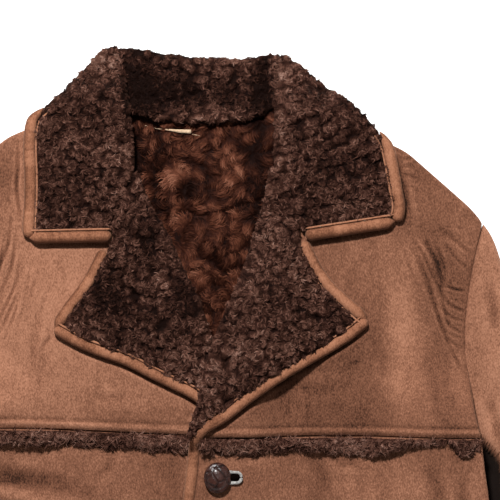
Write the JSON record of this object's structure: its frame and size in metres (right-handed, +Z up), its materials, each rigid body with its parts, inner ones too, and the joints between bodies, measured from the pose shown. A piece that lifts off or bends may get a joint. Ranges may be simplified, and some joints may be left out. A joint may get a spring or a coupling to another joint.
{
  "type": "shearling coat",
  "caption": "Hip-length shearling coat laid flat front up: brown suede outside, dark curled wool collar, lapels and lining, rolled suede edge bindings.",
  "frame": {"origin": "on the surface the coat lies on, under the middle of its bounding box", "axes": "+X towards the wearer's left, across the shoulders and sleeves; +Y towards the collar; +Z up, out of the front"},
  "size_m": [1.0083, 0.8598, 0.0501],
  "materials": {
    "suede": "napped sheepskin suede, mottled and lightly rubbed",
    "wool": "dense curled sheep's wool, dark brown",
    "binding": "rolled suede edge binding, topstitched",
    "button": "polished leather-covered dome",
    "buttonhole": "close-worked buttonhole thread",
    "label": "plain woven tape stub"
  },
  "bodies": {
    "root": {"back": "suede", "binding_collar_left": "binding", "binding_collar_right": "binding", "binding_cuff_left": "binding", "binding_cuff_right": "binding", "binding_front_left": "binding", "binding_front_right": "binding", "binding_hem_back": "binding", "binding_hem_left": "binding", "binding_hem_right": "binding", "binding_lapel_left": "binding", "binding_lapel_right": "binding", "button_1": "button", "button_2": "button", "button_3": "button", "button_4": "button", "buttonhole_1": "buttonhole", "buttonhole_2": "buttonhole", "buttonhole_3": "buttonhole", "buttonhole_4": "buttonhole", "collar": "wool", "front_lower_left": "suede", "front_lower_right": "suede", "label_stub": "label", "lapel_left": "wool", "lapel_right": "wool", "sleeve_left": "suede", "sleeve_right": "suede", "yoke_left": "suede", "yoke_right": "suede", "yoke_trim_left": "wool", "yoke_trim_right": "wool"}
  },
  "joints": []
}
